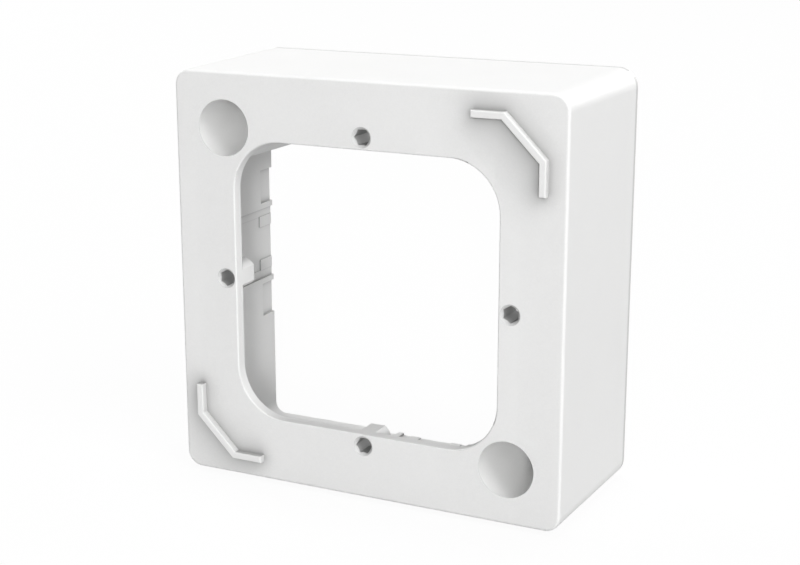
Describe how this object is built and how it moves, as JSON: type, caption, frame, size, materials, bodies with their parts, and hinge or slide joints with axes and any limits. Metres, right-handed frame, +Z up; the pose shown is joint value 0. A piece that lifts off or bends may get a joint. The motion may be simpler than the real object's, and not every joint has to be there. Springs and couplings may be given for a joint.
{
  "type": "surface mount base",
  "caption": "Open-backed square base that stands off a wall and carries a socket or data outlet over the large opening in its front.",
  "frame": {"origin": "on the wall plane, midway between the two wall screws", "axes": "+Y into the wall, so the front faces -Y; +Z up; +X to the right as seen from the front"},
  "size_m": [0.0824, 0.036, 0.0824],
  "materials": {
    "housing": "fine matt moulded ABS"
  },
  "bodies": {
    "root": {"base_frame": "housing"}
  },
  "joints": []
}
